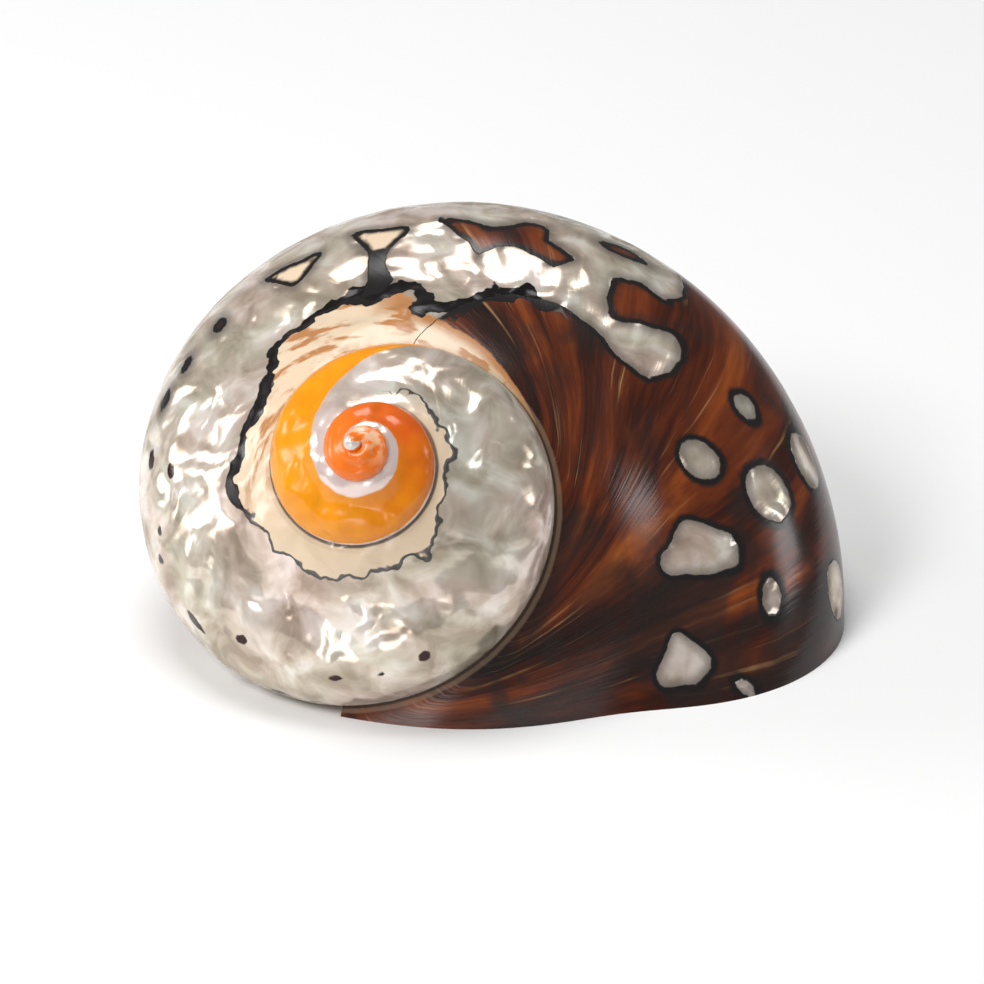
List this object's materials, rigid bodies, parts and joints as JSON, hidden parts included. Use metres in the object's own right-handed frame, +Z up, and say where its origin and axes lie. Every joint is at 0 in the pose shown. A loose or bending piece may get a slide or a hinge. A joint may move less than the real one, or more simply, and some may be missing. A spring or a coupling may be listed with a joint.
{
  "type": "turban shell",
  "caption": "Polished coiled sea snail shell with a low spire and a wide hollow mouth, lying mouth down as a keepsake or a display piece.",
  "frame": {"origin": "middle of the box round the shell, on the surface that the rim of its mouth rests on", "axes": "+X along the longest way across, towards the outer lip; -Y towards the apex; +Z up"},
  "size_m": [0.0856, 0.0616, 0.0443],
  "materials": {
    "shell": "polished shell with mother-of-pearl"
  },
  "bodies": {
    "root": {"shell": "shell"}
  },
  "joints": []
}
